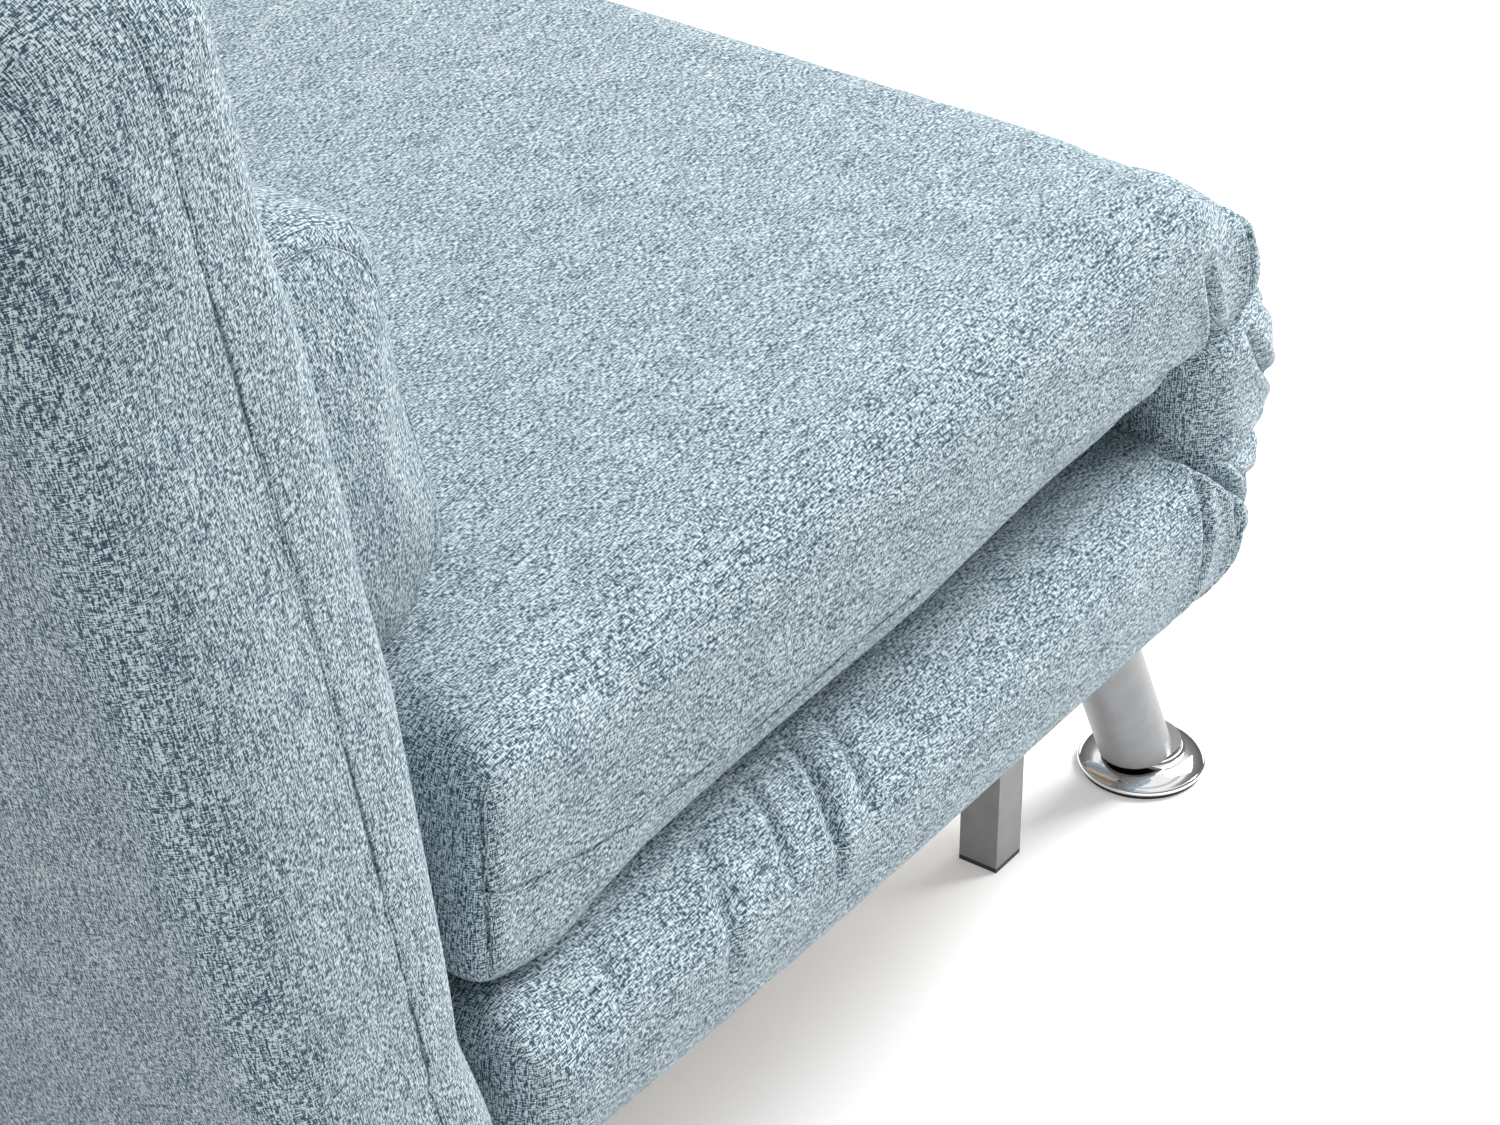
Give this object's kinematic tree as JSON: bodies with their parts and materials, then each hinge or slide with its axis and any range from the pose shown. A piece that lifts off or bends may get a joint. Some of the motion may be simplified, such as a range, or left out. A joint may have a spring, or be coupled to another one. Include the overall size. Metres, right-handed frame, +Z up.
{
  "type": "futon sofa bed",
  "caption": "Armless folding futon sofa bed in pale blue linen-look fabric, with a fold-out seat pad, reclining back, loose pillow and pull-out steel support frame.",
  "frame": {"origin": "on the floor, under the middle of the object's bounding box", "axes": "+Z up; the sitter looks along -Y; +X is the sitter's left"},
  "size_m": [0.74, 0.9526, 0.8295],
  "materials": {
    "linen_fabric": "matte",
    "grey_painted_steel": "satin",
    "chrome_plate": "polished",
    "black_plastic": "matte",
    "black_rubber": "matte",
    "zinc_steel": "satin",
    "beech_slats": "satin"
  },
  "bodies": {
    "base": {"base_cross_front": "grey_painted_steel", "base_cross_middle": "grey_painted_steel", "base_cross_rear": "grey_painted_steel", "base_pad": "linen_fabric", "base_rail_caps": "black_plastic", "base_rail_left": "grey_painted_steel", "base_rail_right": "grey_painted_steel", "guide_bracket_left": "grey_painted_steel", "guide_bracket_right": "grey_painted_steel", "hinge_bolts": "zinc_steel", "hinge_pin_left": "zinc_steel", "hinge_pin_right": "zinc_steel", "hinge_plate_left": "zinc_steel", "hinge_plate_right": "zinc_steel", "rail_rest_tabs": "grey_painted_steel", "rear_foot_left": "chrome_plate", "rear_foot_pads": "black_rubber", "rear_foot_right": "chrome_plate", "rear_leg_bolts": "zinc_steel", "rear_leg_left": "grey_painted_steel", "rear_leg_plates": "grey_painted_steel", "rear_leg_right": "grey_painted_steel", "slat_screws": "zinc_steel", "slats": "beech_slats", "square_leg_cap_left": "black_plastic", "square_leg_cap_right": "black_plastic", "square_leg_left": "grey_painted_steel", "square_leg_right": "grey_painted_steel"},
    "back": {"back_cross_low": "grey_painted_steel", "back_cross_middle": "grey_painted_steel", "back_cross_top": "grey_painted_steel", "back_pad": "linen_fabric", "back_upright_caps": "black_plastic", "back_upright_left": "grey_painted_steel", "back_upright_right": "grey_painted_steel", "hinge_arm_left": "zinc_steel", "hinge_arm_right": "zinc_steel", "ratchet_pawls": "zinc_steel"},
    "seat": {"seat_pad": "linen_fabric"},
    "pull_out": {"front_foot_left": "chrome_plate", "front_foot_pads": "black_rubber", "front_foot_right": "chrome_plate", "front_leg_bolts": "zinc_steel", "front_leg_left": "grey_painted_steel", "front_leg_plates": "grey_painted_steel", "front_leg_right": "grey_painted_steel", "pull_cross_tube": "grey_painted_steel", "pull_rail_caps": "black_plastic", "pull_rail_left": "grey_painted_steel", "pull_rail_right": "grey_painted_steel", "pull_stops": "zinc_steel"},
    "pillow_body": {"pillow": "linen_fabric"}
  },
  "joints": [
    {"name": "recline", "type": "hinge", "parent": "base", "child": "back", "pos_m": [0, 0.28921, 0.225], "axis": [-1, 0, 0], "range_deg": [0, 77]},
    {"name": "seat_fold", "type": "hinge", "parent": "base", "child": "seat", "pos_m": [0, -0.43979, 0.3178], "axis": [1, 0, 0], "range_deg": [0, 184], "deforming": ["pillow"]},
    {"name": "pull_out_slide", "type": "slide", "parent": "base", "child": "pull_out", "axis": [0, -1, 0], "range_m": [0, 0.455]},
    {"name": "pillow_drop", "type": "slide", "parent": "back", "child": "pillow_body", "axis": [0, 0.225, 0.9744], "range_m": [-0.1061, 0]}
  ],
  "couplings": [
    {"joint": "pillow_drop", "follows": "seat_fold", "m_per_rad": -0.033007}
  ]
}
